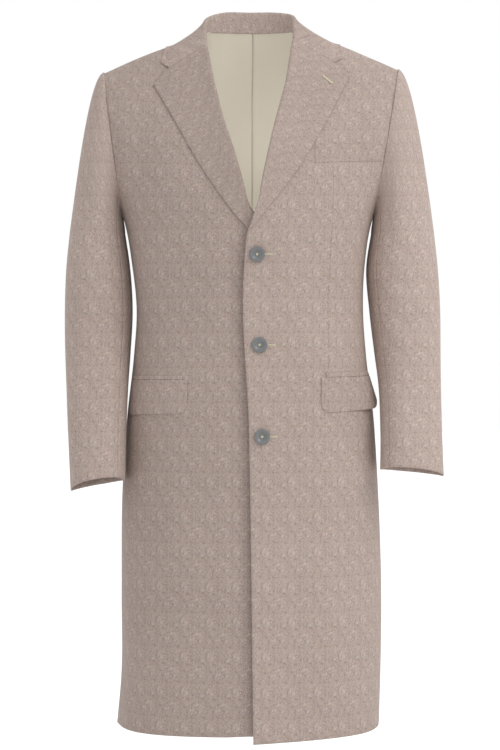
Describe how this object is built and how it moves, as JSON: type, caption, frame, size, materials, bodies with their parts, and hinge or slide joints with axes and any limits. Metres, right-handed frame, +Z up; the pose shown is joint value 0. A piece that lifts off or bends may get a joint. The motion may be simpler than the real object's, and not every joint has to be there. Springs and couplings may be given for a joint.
{
  "type": "single-breasted topcoat",
  "caption": "Long single-breasted topcoat, hollow and filled out as worn, with notched lapels, folded collar, two-piece sleeves, hip flaps, breast welt and turned buttons.",
  "frame": {"origin": "between the shoulders, level with the shoulder seams, where the wearer carries the coat", "axes": "+Z up, -Y out of the front, +X to the wearer's left"},
  "size_m": [0.5991, 0.2622, 1.1548],
  "materials": {
    "wool": "soft brushed taupe wool",
    "lining": "smooth khaki twill lining",
    "button": "turned, satin grey"
  },
  "bodies": {
    "root": {"front_left": "wool", "front_right": "wool", "back_left": "wool", "back_right": "wool", "sleeve_top_left": "wool", "sleeve_top_right": "wool", "sleeve_under_left": "wool", "sleeve_under_right": "wool", "lapel_left": "wool", "lapel_right": "wool", "collar": "wool", "lining_left": "lining", "lining_right": "lining", "jet_left": "wool", "jet_right": "wool", "flap_left": "wool", "flap_right": "wool", "breast_welt": "wool", "button_1": "button", "button_2": "button", "button_3": "button"}
  },
  "joints": []
}
